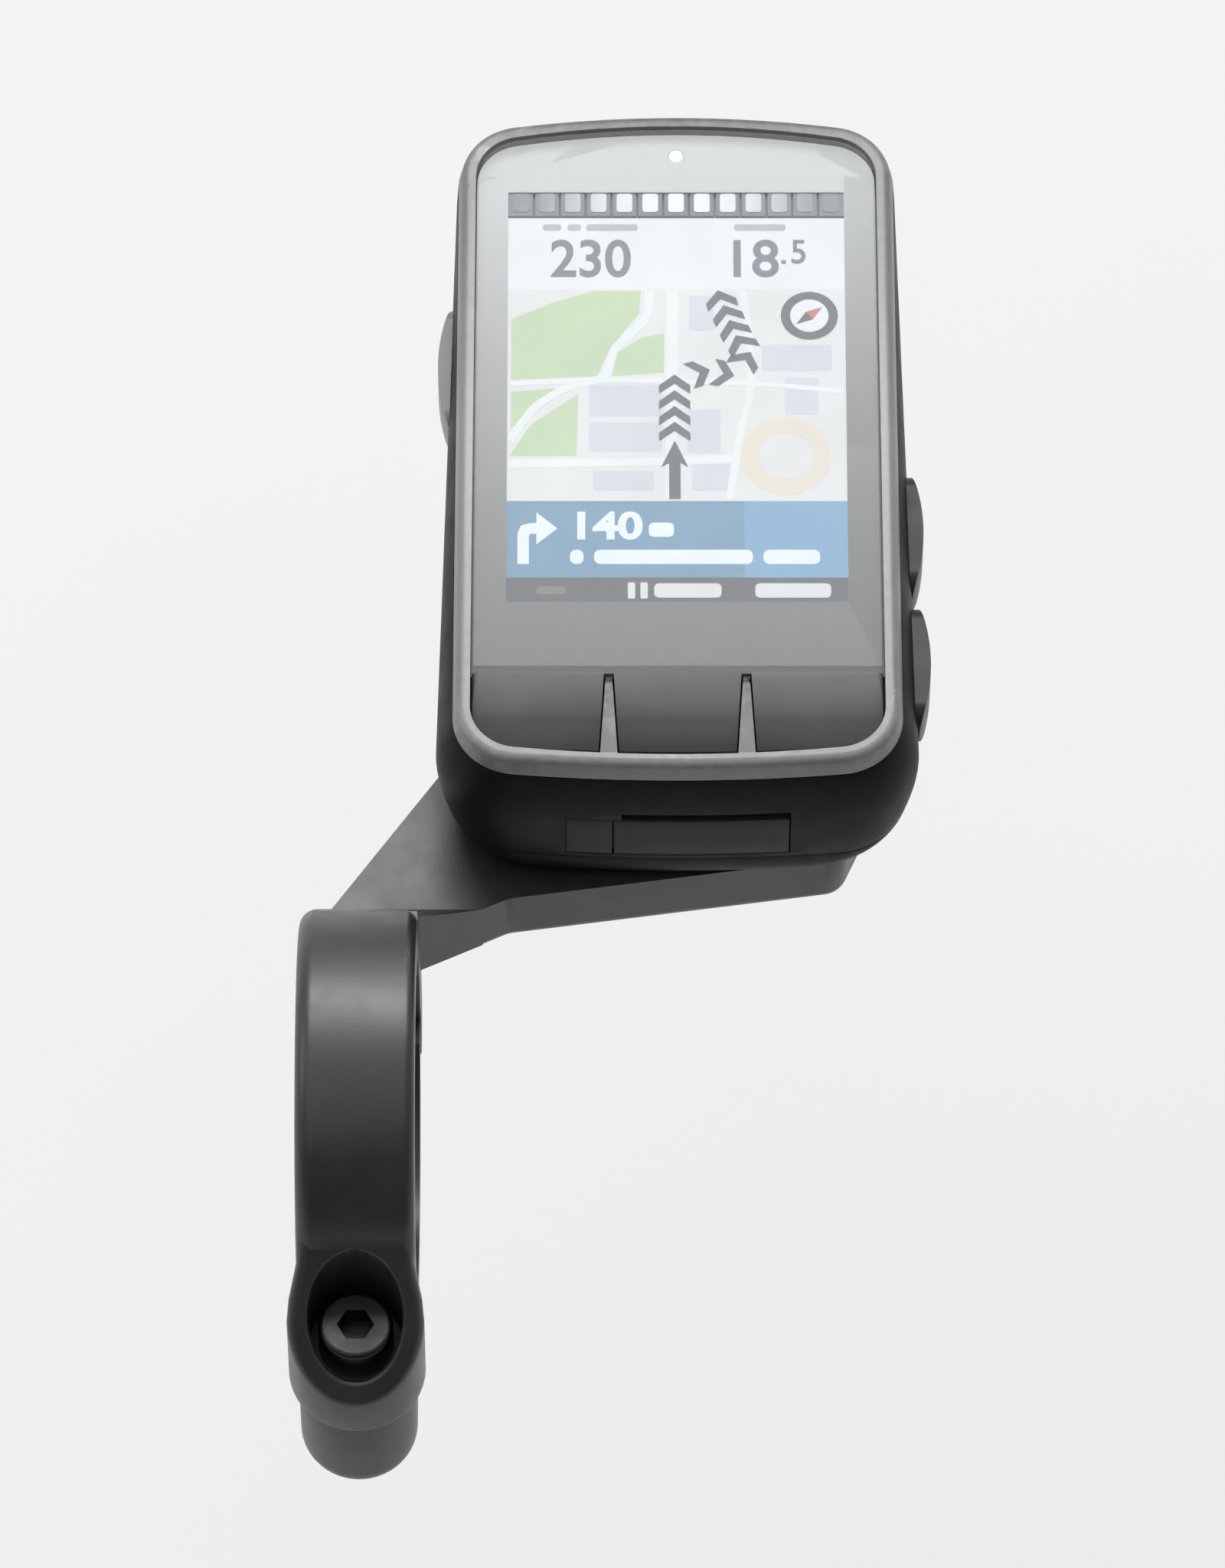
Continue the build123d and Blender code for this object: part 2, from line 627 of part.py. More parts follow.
def make_mount_arm():
    band = clamp_band(CLAMP_W) & box_between(-10, 10, -30, 30, SPLIT_Z, 30)
    with BuildSketch(Plane.YZ.offset(1.3 - CLAMP_W / 2)) as rise:
        with BuildLine():
            Polyline(
                (23.3, PLATE_TOP), (23.3, PLATE_BOTTOM + 1), (14.0, PLATE_BOTTOM + 1),
                (14.0, 12.5), (15.5, 12.5),
            )
            ThreePointArc((15.5, 12.5), (20.3, 3.2), (23.3, PLATE_TOP))
        make_face()
    ramp = extrude(rise.sketch, CLAMP_W + 8) & arm_plan(-20, 20)
    body = band + ramp + make_plate()
    # bolt column behind the bar, with its sloping top
    with BuildSketch(Plane.YZ.offset(-COLUMN_R)) as slope:
        with BuildLine():
            Polyline(
                (-14.0, SPLIT_Z), (SLOPE_FOOT[0], SPLIT_Z), SLOPE_FOOT, SLOPE_TOP,
                (-14.0, SLOPE_TOP[1]), close=True,
            )
        make_face()
    column = extrude(slope.sketch, 2 * COLUMN_R) & column_stock(COLUMN_R, CLAMP_W / 2 - 0.1)
    behind = [e for e in column.edges() if e.center().Y < -17 and abs(e.tangent_at(0.5).Z) < 0.9]
    column = fillet([e for e in behind if e.center().Z > SLOPE_FOOT[1] - 0.5], 1.1)
    foot = [e for e in column.edges() if e.center().Z < SPLIT_Z + 0.01 and e.center().Y < BOLT_Y]
    body += fillet(foot, 0.9)
    # outer hinge knuckles under the front of the band
    gap = KNUCKLE_HALF + 0.2
    for x0, x1 in ((-CLAMP_W / 2, -gap), (gap, CLAMP_W / 2)):
        body += rod_x(HINGE_Y, HINGE_Z, x0, x1, KNUCKLE_R)
        body += box_between(x0, x1, HINGE_Y - 1.7, HINGE_Y + KNUCKLE_R, HINGE_Z, PLATE_BOTTOM + 0.5)
    body -= bar_space() + box_between(-10, 10, -BAR_R, BAR_R, -40, 0)
    body -= box_between(-gap, gap, 0, HINGE_Y + 4.2, HINGE_Z - 5, PLATE_BOTTOM - 0.4)
    body -= rod_x(HINGE_Y, HINGE_Z, -10, 10, HINGE_PIN_R)
    # bolt hole and counterbore
    body -= rod_z(0, BOLT_Y, -30, 0, BOLT_R + 0.3) + rod_z(0, BOLT_Y, BOLT_SEAT_Z, 30, POCKET_R)
    lip = [e for e in body.edges() if on_pocket_lip(e)]
    body = fillet(lip, 0.4)
    # pocket for the quarter-turn socket, and its screws from below
    body -= rod_z(HEAD_X, HEAD_Y, INSERT_BOTTOM, 1, INSERT_R + 0.05)
    for x, y in INSERT_SCREWS:
        body -= rod_z(x, y, -10, -5, 1.6) + rod_z(x, y, -10, -7.0, 2.9)
    # lightening pockets under the arm
    body -= round_box(24.0, 36.0, 29.5, 44.0, -10, -3.0, 2.5)
    return body


def make_socket_insert():
    insert = rod_z(0, 0, INSERT_BOTTOM, PLATE_TOP, INSERT_R)
    groove_top = LUG_T - BOSS_H + 0.2
    insert -= rod_z(0, 0, -BOSS_H - 0.4, groove_top, LUG_R + LUG_GAP)
    insert -= rod_z(0, 0, -2.0, 0, BOSS_R + LUG_GAP)
    for centre in (90, 270):
        insert -= lug(centre, 31, LUG_R + LUG_GAP, -2.0, 0)
    insert = HEAD * insert
    for x, y in INSERT_SCREWS:
        insert -= rod_z(x, y, -7, -3.9, 1.3)
    return insert


def make_insert_screws():
    screws = []
    for x, y in INSERT_SCREWS:
        screw = rod_z(x, y, -8.1, -7.0, 2.6) + rod_z(x, y, -7.05, -4.2, 1.25)
        screws.append(screw - rod_z(x, y, -8.2, -7.4, 0.9))
    return Compound(screws)


def make_hinge_pin():
    return rod_x(HINGE_Y, HINGE_Z, -CLAMP_W / 2, CLAMP_W / 2, HINGE_PIN_R)


def make_clamp_jaw():
    top = SPLIT_Z - SPLIT_GAP
    half = JAW_W / 2
    band = clamp_band(JAW_W) & box_between(-10, 10, -30, 17.1, -30, top)
    ear = rod_z(0, BOLT_Y, -21.4, top, half)
    ear = fillet(ear.faces().sort_by(Axis.Z)[0].edges(), 3.4)
    with BuildSketch(Plane.YZ.offset(-half)) as web:
        with BuildLine():
            Polyline(
                (BOLT_Y, top), (BOLT_Y, -18.2), (-18.6, -18.2), (-9.6, -17.3), (-9.6, top), close=True,
            )
        make_face()
    jaw = band + ear + extrude(web.sketch, JAW_W)
    reach = box_between(-KNUCKLE_HALF, KNUCKLE_HALF, 12.0, HINGE_Y, HINGE_Z - KNUCKLE_R, HINGE_Z + 1.6)
    jaw += rod_x(HINGE_Y, HINGE_Z, -KNUCKLE_HALF, KNUCKLE_HALF, KNUCKLE_R) + reach
    jaw -= bar_space()
    for x0, x1 in ((-10, -KNUCKLE_HALF), (KNUCKLE_HALF, 10)):
        jaw -= rod_x(HINGE_Y, HINGE_Z, x0, x1, KNUCKLE_R + 0.3)
    jaw -= rod_x(HINGE_Y, HINGE_Z, -10, 10, HINGE_PIN_R + 0.05)
    jaw -= rod_z(0, BOLT_Y, -19.6, 0, BOLT_R + 0.4)
    return jaw - nut_prism(0.1, -22.0, -13.9)


def nut_prism(grow, z0, z1):
    """The nut, or with grow the pocket under the jaw that it is pressed up into."""
    nut = extrude(Plane.XY.offset(z0) * RegularPolygon(3.5 + grow, 6, major_radius=False), z1 - z0)
    return Pos(0, BOLT_Y, 0) * nut


def make_clamp_nut():
    return nut_prism(0.0, -17.2, -14.0) - rod_z(0, BOLT_Y, -18, -13, BOLT_R + 0.2)


def make_clamp_bolt():
    head = rod_z(0, BOLT_Y, BOLT_SEAT_Z, BOLT_SEAT_Z + 3.9, BOLT_HEAD_R)
    head = fillet(head.faces().sort_by(Axis.Z)[-1].edges(), 0.5)
    socket = extrude(Plane.XY.offset(BOLT_SEAT_Z + 1.8) * RegularPolygon(1.5, 6, major_radius=False), 4)
    return head + rod_z(0, BOLT_Y, BOLT_SEAT_Z - 16.0, BOLT_SEAT_Z, BOLT_R) - Pos(0, BOLT_Y, 0) * socket


# ---------------------------------------------------------------- write every piece

HEAD_PARTS = {
    "front_frame": make_front_frame, "main_case": make_main_case, "rear_cover": make_rear_cover,
    "case_gasket": make_case_gasket, "case_screws": make_case_screws, "cover_lens": make_cover_lens,
    "lens_mask": make_lens_mask, "lens_gasket": make_lens_gasket, "lcd_panel": make_lcd_panel,
    "backlight_unit": make_backlight_unit, "display_chassis": make_display_chassis,
    "display_flex": make_display_flex, "led_light_bar": make_led_light_bar, "led_board": make_led_board,
    "light_sensor": make_light_sensor, "key_membrane": make_key_membrane, "key_board": make_key_board,
    "key_domes": make_key_domes, "button_seals": make_button_seals, "side_switches": make_side_switches,
    "main_board": make_main_board, "board_chips": make_board_chips, "shield_can": make_shield_can,
    "gnss_antenna": make_gnss_antenna, "wireless_antenna": make_wireless_antenna,
    "pressure_sensor": make_pressure_sensor, "vent_membrane": make_vent_membrane, "buzzer": make_buzzer,
    "battery": make_battery, "battery_pad": make_battery_pad, "battery_plug": make_battery_plug,
    "battery_cable": make_battery_cable, "usb_connector": make_usb_connector,
    "usb_cover": make_usb_cover, "usb_cover_anchor": make_usb_cover_anchor,
}
MOUNT_PARTS = {
    "mount_arm": make_mount_arm, "socket_insert": make_socket_insert, "insert_screws": make_insert_screws,
    "hinge_pin": make_hinge_pin, "clamp_jaw": make_clamp_jaw, "clamp_nut": make_clamp_nut,
    "clamp_bolt": make_clamp_bolt,
}

os.makedirs("parts", exist_ok=True)


def save(name, shape):
    export_step(shape, f"parts/{name}.step")


for name, make in MOUNT_PARTS.items():
    save(name, make())
for name, make in HEAD_PARTS.items():
    save(name, HEAD * make())
for name, key in KEYS.items():
    save(name, HEAD * make_front_key(*key))
for name, button in SIDE_BUTTONS.items():
    save(name, HEAD * make_side_button(*button))
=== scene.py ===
import json
import math
import bpy
import bmesh
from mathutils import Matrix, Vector


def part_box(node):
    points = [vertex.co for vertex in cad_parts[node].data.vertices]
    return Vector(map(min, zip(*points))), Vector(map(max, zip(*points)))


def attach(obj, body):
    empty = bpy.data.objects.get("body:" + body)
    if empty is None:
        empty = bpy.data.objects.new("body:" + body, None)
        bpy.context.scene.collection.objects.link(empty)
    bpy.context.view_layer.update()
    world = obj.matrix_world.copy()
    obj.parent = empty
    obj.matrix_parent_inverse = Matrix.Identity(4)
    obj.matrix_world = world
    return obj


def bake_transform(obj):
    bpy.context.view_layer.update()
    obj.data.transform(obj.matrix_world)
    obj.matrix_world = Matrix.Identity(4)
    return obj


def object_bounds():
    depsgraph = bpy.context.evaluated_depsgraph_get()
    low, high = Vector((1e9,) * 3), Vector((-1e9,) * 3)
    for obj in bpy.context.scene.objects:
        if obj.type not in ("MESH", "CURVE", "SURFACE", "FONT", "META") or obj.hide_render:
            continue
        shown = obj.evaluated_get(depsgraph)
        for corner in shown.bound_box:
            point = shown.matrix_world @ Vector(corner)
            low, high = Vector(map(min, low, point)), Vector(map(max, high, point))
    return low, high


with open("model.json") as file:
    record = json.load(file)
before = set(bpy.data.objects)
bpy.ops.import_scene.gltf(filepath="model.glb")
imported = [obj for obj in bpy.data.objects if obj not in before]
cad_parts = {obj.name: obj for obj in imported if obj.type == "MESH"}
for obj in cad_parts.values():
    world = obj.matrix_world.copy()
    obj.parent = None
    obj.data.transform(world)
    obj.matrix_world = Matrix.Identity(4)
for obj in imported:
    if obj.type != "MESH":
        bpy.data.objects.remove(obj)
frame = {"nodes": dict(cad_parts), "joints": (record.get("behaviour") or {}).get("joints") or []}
NODES = frame["nodes"]
CAD_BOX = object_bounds()

# A bicycle computer on its handlebar mount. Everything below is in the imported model's own frame.
# Places on the head unit are given in millimetres: x from its twist axis, v from the rider's end
# of its rim, z above the origin.
MM = 0.001
TWIST = next(j for j in frame["joints"] if j["name"] == "twist_lock")["pos_m"]
RIM_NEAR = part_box("front_frame")[0].y
LCD_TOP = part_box("lcd_panel")[1].z / MM
HALF_W = 16.25         # half the display's width
BACKLIGHT = 0.6        # share of the display's brightness that is its own
PIXEL = 0.19 * MM      # pitch of the display's pixels


def at(x, v, z):
    return Vector((TWIST[0] + x * MM, RIM_NEAR + v * MM, z * MM))


# ---------------------------------------------------------------- materials

def linear(code):
    """Scene-linear colour of an sRGB hex code."""
    out = []
    for i in (1, 3, 5):
        c = int(code[i:i + 2], 16) / 255
        out.append(c / 12.92 if c <= 0.04045 else ((c + 0.055) / 1.055) ** 2.4)
    return (*out, 1.0)


def scaled(colour, factor):
    return tuple(min(c * factor, 1.0) for c in colour[:3]) + (1.0,)


class Graph:
    """A material's node graph, with short calls to add and join nodes."""

    def __init__(self, name):
        self.mat = bpy.data.materials.new(name)
        self.mat.use_nodes = True
        self.tree = self.mat.node_tree
        self.tree.nodes.clear()
        self.out = self.add("ShaderNodeOutputMaterial")
        self.coords = self.add("ShaderNodeTexCoord").outputs["Object"]

    def add(self, kind, **values):
        node = self.tree.nodes.new(kind)
        for key, value in values.items():
            if hasattr(node, key):
                setattr(node, key, value)
            else:
                node.inputs[key.replace("_", " ")].default_value = value
        return node

    def link(self, source, node, socket):
        self.tree.links.new(source, node.inputs[socket])

    def noise(self, scale, detail=3.0, stretch=None, rough=0.55):
        node = self.add("ShaderNodeTexNoise", Scale=scale, Detail=detail, Roughness=rough)
        source = self.coords
        if stretch:
            mapping = self.add("ShaderNodeMapping", Scale=stretch)
            self.link(self.coords, mapping, "Vector")
            source = mapping.outputs["Vector"]
        self.link(source, node, "Vector")
        return node.outputs["Fac"]

    def math(self, operation, a, b=None, c=None):
        node = self.add("ShaderNodeMath", operation=operation)
        for i, value in enumerate((a, b, c)):
            if value is None:
                continue
            if isinstance(value, (int, float)):
                node.inputs[i].default_value = value
            else:
                self.tree.links.new(value, node.inputs[i])
        return node.outputs[0]

    def ramp(self, source, *stops):
        """Colours or greys along a 0..1 value."""
        node = self.add("ShaderNodeValToRGB")
        elements = node.color_ramp.elements
        while len(elements) < len(stops):
            elements.new(0.5)
        for element, (place, colour) in zip(elements, stops):
            element.position = place
            element.color = colour if isinstance(colour, tuple) else (colour, colour, colour, 1)
        self.link(source, node, "Fac")
        return node.outputs["Color"]

    def mix(self, factor, a, b, blend="MIX"):
        node = self.add("ShaderNodeMix", data_type="RGBA", blend_type=blend)
        for socket, value in ((0, factor), (6, a), (7, b)):
            if isinstance(value, (int, float, tuple)):
                node.inputs[socket].default_value = value
            else:
                self.tree.links.new(value, node.inputs[socket])
        return node.outputs[2]

    def axis(self, letter):
        node = self.add("ShaderNodeSeparateXYZ")
        self.link(self.coords, node, 0)
        return node.outputs[letter.upper()]

    def bump(self, height, depth_mm, strength=1.0, under=None):
        node = self.add("ShaderNodeBump", Strength=strength, Distance=depth_mm * MM)
        self.link(height, node, "Height")
        if under is not None:
            self.link(under, node, "Normal")
        return node.outputs["Normal"]

    def principled(self, colour, roughness, normal=None, glow=None, **values):
        node = self.add("ShaderNodeBsdfPrincipled")
        sockets = [("Base Color", colour), ("Roughness", roughness)]
        if glow is not None:
            sockets += [("Emission Color", glow), ("Emission Strength", 1.0)]
        for socket, value in sockets:
            if isinstance(value, (int, float, tuple)):
                node.inputs[socket].default_value = value
            else:
                self.link(value, node, socket)
        for key, value in values.items():
            node.inputs[key.replace("_", " ")].default_value = value
        if normal is not None:
            self.link(normal, node, "Normal")
        self.link(node.outputs[0], self.out, "Surface")
        return node

    def worn_edges(self, colour, edge, amount):
        """Convex edges polished a little paler."""
        geometry = self.add("ShaderNodeNewGeometry")
        edges = self.ramp(geometry.outputs["Pointiness"], (0.50, 0.0), (0.56, 1.0))
        patchy = self.ramp(self.noise(900), (0.35, 0.2), (0.65, 1.0))
        factor = self.math("MULTIPLY", self.math("MULTIPLY", edges, patchy), amount)
        return self.mix(factor, colour, edge)


def moulded(name, colour, rough, grain=5000, depth=0.006, wear=0.35, coat=0.0, specular=0.5):
    """Moulded plastic: spark-eroded grain, faint flow marks, edges rubbed paler."""
    g = Graph(name)
    flow = g.noise(60, 4)
    tone = g.ramp(flow, (0.3, scaled(colour, 0.82)), (0.7, scaled(colour, 1.18)))
    tone = g.worn_edges(tone, scaled(colour, 2.2), wear)
    fine = g.noise(grain, 2)
    roughness = g.ramp(g.noise(240, 4), (0.3, rough * 0.88), (0.7, min(rough * 1.14, 1.0)))
    normal = g.bump(fine, depth)
    g.principled(tone, roughness, normal, Coat_Weight=coat, Coat_Roughness=0.25, Specular_IOR_Level=specular)
    return g.mat


def soft_rubber(name, colour):
    """Silicone rubber: matt, with dust in its texture."""
    g = Graph(name)
    dust = g.ramp(g.noise(700, 6), (0.52, 0.0), (0.75, 1.0))
    tone = g.mix(g.math("MULTIPLY", dust, 0.22), colour, scaled(colour, 4.0))
    normal = g.bump(g.noise(3800, 3), 0.010)
    g.principled(tone, 0.72, normal, Sheen_Weight=0.12, Sheen_Roughness=0.5, Specular_IOR_Level=0.35)
    return g.mat


def metal(name, colour, rough, turned=False):
    """Plated or bright metal with fine tool marks."""
    g = Graph(name)
    stretch = (400.0, 400.0, 9000.0) if turned else (9000.0, 900.0, 900.0)
    marks = g.noise(1.0, 3, stretch)
    stain = g.noise(350, 4)
    tone = g.ramp(stain, (0.3, scaled(colour, 0.8)), (0.7, scaled(colour, 1.15)))
    tone = g.worn_edges(tone, scaled(colour, 1.7), 0.5)
    roughness = g.ramp(marks, (0.3, rough * 0.8), (0.7, rough * 1.25))
    g.principled(tone, roughness, g.bump(marks, 0.003), Metallic=1.0)
    return g.mat


def foil(name, colour):
    """Battery pouch: creased silver film, darker where the creases sink as painted shade."""
    g = Graph(name)
    creases = g.noise(180, 5, rough=0.7)
    # painted shade: the film is darker in the low parts of its creases
    tone = g.ramp(creases, (0.3, scaled(colour, 0.75)), (0.7, colour))
    g.principled(tone, 0.32, g.bump(creases, 0.12), Metallic=0.9)
    return g.mat


def foam(name, colour):
    g = Graph(name)
    cells = g.add("ShaderNodeTexVoronoi", Scale=2600.0)
    g.link(g.coords, cells, "Vector")
    # painted shade: darker in the hollows of the cells
    tone = g.ramp(cells.outputs["Distance"], (0.1, scaled(colour, 0.5)), (0.7, scaled(colour, 1.6)))
    g.principled(tone, 0.95, g.bump(cells.outputs["Distance"], 0.05))
    return g.mat


def circuit_board(name, colour):
    """Solder mask over traces that run in two directions, with small pads."""
    g = Graph(name)
    run = g.add("ShaderNodeTexBrick", Scale=520.0, Mortar_Size=0.08, Brick_Width=1.4, Row_Height=0.35)
    g.link(g.coords, run, "Vector")
    traces = g.ramp(run.outputs["Fac"], (0.0, 0.0), (1.0, 1.0))
    tone = g.mix(g.math("MULTIPLY", traces, 0.55), colour, scaled(colour, 2.6))
    g.principled(tone, 0.35, g.bump(run.outputs["Fac"], 0.02), Coat_Weight=0.3, Coat_Roughness=0.2)
    return g.mat


def clear_glass(name, strength):
    """Cover glass: lets light through to the display and adds a soft reflection that grows at low angles."""
    g = Graph(name)
    clear = g.add("ShaderNodeBsdfTransparent")
    clear.inputs["Color"].default_value = linear("#F6F8F9")
    shine = g.add("ShaderNodeBsdfGlossy", Roughness=0.04)
    smear = g.ramp(g.noise(90, 4), (0.35, 0.03), (0.7, 0.09))
    g.link(smear, shine, "Roughness")
    rim = g.add("ShaderNodeFresnel", IOR=1.45)
    # only the outer surfaces shine
    outside = g.math("SUBTRACT", 1.0, g.add("ShaderNodeNewGeometry").outputs["Backfacing"])
    factor = g.math("MULTIPLY", g.math("MULTIPLY", rim.outputs[0], strength), outside)
    mixer = g.add("ShaderNodeMixShader")
    g.link(factor, mixer, 0)
    g.tree.links.new(clear.outputs[0], mixer.inputs[1])
    g.tree.links.new(shine.outputs[0], mixer.inputs[2])
    g.link(mixer.outputs[0], g.out, "Surface")
    return g.mat


def along_head(g, start_v, end_v):
    """0 at start_v to 1 at end_v along the head unit, in millimetres from the rider's end."""
    y0 = RIM_NEAR + start_v * MM
    y1 = RIM_NEAR + end_v * MM
    offset = g.math("SUBTRACT", g.axis("y"), y0)
    return g.math("DIVIDE", offset, y1 - y0)


def off_centre(g):
    """Distance to either side of the head unit's middle, in metres."""
    return g.math("ABSOLUTE", g.math("SUBTRACT", g.axis("x"), TWIST[0]))


def backlit(g, tone):
    """Splits a tone into what the surface reflects and what it gives off itself."""
    lit = g.mix(1.0, tone, (BACKLIGHT,) * 3 + (1.0,), "MULTIPLY")
    shaded = g.mix(1.0, tone, (1.0 - BACKLIGHT,) * 3 + (1.0,), "MULTIPLY")
    return shaded, lit


def mask_painted_reflection(name):
    """Border printed behind the cover glass; its grey, paler towards the far end, is painted reflection of
    the pale surroundings, and part of it is given off as painted glow.
    """
    g = Graph(name)
    place = along_head(g, 10, 75)
    # painted reflection: the border's grey, paler towards the far end
    tone = g.ramp(place, (0.0, linear("#737270")), (0.3, linear("#908F8C")), (0.6, linear("#B2B1AF")),
                  (0.85, linear("#CDCDCB")), (1.0, linear("#D6D6D5")))
    fleck = g.ramp(g.noise(7000, 1), (0.35, 0.97), (0.65, 1.0))
    tone = g.mix(1.0, tone, fleck, "MULTIPLY")
    # painted glow: part of the border's tone is given off as light, though the print is no lamp
    shaded, lit = backlit(g, tone)
    g.principled(shaded, 0.45, g.bump(g.noise(2500, 2), 0.002), glow=lit, Specular_IOR_Level=0.2)
    return g.mat


# the rim's painted light and shade runs over this length
RIM_SPAN = 75.0        # length of the rim's paler-to-darker run
RIB_HALF = 8 * MM      # the ribs lie within this distance of the middle
RIB_V = (2.2, 13.0)    # and between these places along the rim


def rim_paint_painted_shading(name):
    """Satin metallic-grey paint on the frame round the glass, with painted light and shade along its length.
    """
    g = Graph(name)
    place = along_head(g, 0, RIM_SPAN)
    # painted light and shade along the rim: palest in the middle of its run, darker at both ends, darkest at
    # the far end
    tone = g.ramp(place, (0.0, linear("#747474")), (0.12, linear("#7A7A7A")), (0.5, linear("#868686")),
                  (0.94, linear("#707070")), (1.0, linear("#464646")))
    # painted shade: the ribs between the keys are darker, most of all near the glass
    middle = g.math("LESS_THAN", off_centre(g), RIB_HALF)
    past_rim = g.math("GREATER_THAN", place, RIB_V[0] / RIM_SPAN)
    before_glass = g.math("LESS_THAN", place, RIB_V[1] / RIM_SPAN)
    ribs = g.math("MULTIPLY", g.math("MULTIPLY", middle, past_rim), before_glass)
    rib_painted_shade = g.ramp(place, (2.0 / RIM_SPAN, linear("#565656")), (7.0 / RIM_SPAN, linear("#4C4C4C")),
                      (12.0 / RIM_SPAN, linear("#303030")))
    tone = g.mix(ribs, tone, rib_painted_shade)
    fleck = g.ramp(g.noise(9000, 2), (0.3, 0.97), (0.7, 1.03))
    tone = g.mix(1.0, tone, fleck, "MULTIPLY")
    tone = g.worn_edges(tone, linear("#D0D0D0"), 0.25)
    g.principled(tone, 0.42, g.bump(g.noise(4200, 2), 0.003), Metallic=0.25, Specular_IOR_Level=0.4)
    return g.mat


def key_plastic(name):
    """Front keys: satin grey, with painted light and shade: lighter towards the glass, darker towards the
    rider.
    """
    g = Graph(name)
    place = along_head(g, 1.5, 12)
    # painted light and shade: near black at the rider's end of the keys, pale grey at the glass
    tone = g.ramp(place, (0.0, linear("#0E0E0E")), (0.45, linear("#3A3A3A")), (1.0, linear("#828282")))
    flow = g.ramp(g.noise(220, 3), (0.3, 0.92), (0.7, 1.08))
    tone = g.mix(1.0, tone, flow, "MULTIPLY")
    g.principled(tone, 0.46, g.bump(g.noise(5200, 2), 0.005), Specular_IOR_Level=0.14)
    return g.mat


def light_strip(name):
    """Row of milky light windows, palest in the middle of the row and greyer towards its ends."""
    g = Graph(name)
    place = g.math("DIVIDE", off_centre(g), HALF_W * MM)
    tone = g.ramp(place, (0.0, linear("#F2F2F2")), (0.40, linear("#E4E4E4")), (0.62, linear("#BEBEBE")),
                  (0.8, linear("#9A9A9A")), (1.0, linear("#8C8C8C")))
    cloud = g.ramp(g.noise(1400, 3), (0.3, 0.93), (0.7, 1.05))
    g.principled(g.mix(1.0, tone, cloud, "MULTIPLY"), 0.5, Specular_IOR_Level=0.3)
    return g.mat


def display_ink(name, code, rough=0.6):
    """Colour shown by the display: pixel grid and a little unevenness."""
    g = Graph(name)
    colour = linear(code)
    gaps = []
    for letter in "xy":
        place = g.math("FRACT", g.math("DIVIDE", g.axis(letter), PIXEL))
        gaps.append(g.math("LESS_THAN", place, 0.12))
    grid = g.math("MAXIMUM", *gaps)
    uneven = g.ramp(g.noise(130, 3), (0.3, 0.96), (0.7, 1.03))
    tone = g.mix(1.0, colour, uneven, "MULTIPLY")
    tone = g.mix(g.math("MULTIPLY", grid, 0.10), tone, scaled(colour, 0.72))
    shaded, lit = backlit(g, tone)
    g.principled(shaded, rough, glow=lit, Specular_IOR_Level=0.2)
    return g.mat


MATERIALS = {
    "case": moulded("case_black", linear("#101011"), 0.5, grain=4200, depth=0.007, wear=0.3, specular=0.14),
    "rim": rim_paint_painted_shading("rim_paint_painted_shading"),
    "key": key_plastic("key_plastic"),
    "button": moulded("button_black", linear("#1C1C1D"), 0.38, grain=5200, depth=0.004, specular=0.3),
    "power": moulded("power_grey", linear("#6A6A6B"), 0.36, grain=5200, depth=0.004, specular=0.4),
    "glass": clear_glass("cover_glass", 0.55),
    "mask": mask_painted_reflection("mask_painted_reflection"),
    "lights": moulded("light_bar_body", linear("#7E7E80"), 0.5, grain=3000, depth=0.002, wear=0.0),
    "display": display_ink("display_back", "#EDEEF0"),
    "rubber": soft_rubber("silicone_black", linear("#121213")),
    "steel": metal("screw_steel", linear("#343436"), 0.36, turned=True),
    "bright": metal("bright_steel", linear("#C9C9C6"), 0.28),
    "cast": metal("cast_magnesium", linear("#A2A3A5"), 0.5),
    "chip": moulded("chip_plastic", linear("#1A1A1B"), 0.5, grain=3000, depth=0.004),
    "board": circuit_board("circuit_board", linear("#0E5A38")),
    "film": moulded("flex_film", linear("#B0702A"), 0.3, grain=900, depth=0.002),
    "ceramic": moulded("fired_ceramic", linear("#CFC2A4"), 0.6, grain=2200, depth=0.01),
    "milky": moulded("light_guide", linear("#DDDEE0"), 0.4, grain=2500, depth=0.002),
    "sensor": moulded("sensor_window", linear("#FFFFFF"), 0.3, grain=2500, depth=0.001, wear=0.0),
    "foil": foil("battery_foil", linear("#C4C6C9")),
    "foam": foam("foam_pad", linear("#2A2A2A")),
    "cable": soft_rubber("cable_red", linear("#8E1A14")),
    "vent": foam("vent_film", linear("#D8D8D4")),
    "mount": moulded("mount_plastic", linear("#1C1C1D"), 0.38, grain=3600, depth=0.008, wear=0.4,
                     specular=0.7),
    "socket": moulded("socket_plastic", linear("#3A3A3C"), 0.42, grain=4200, depth=0.004),
}
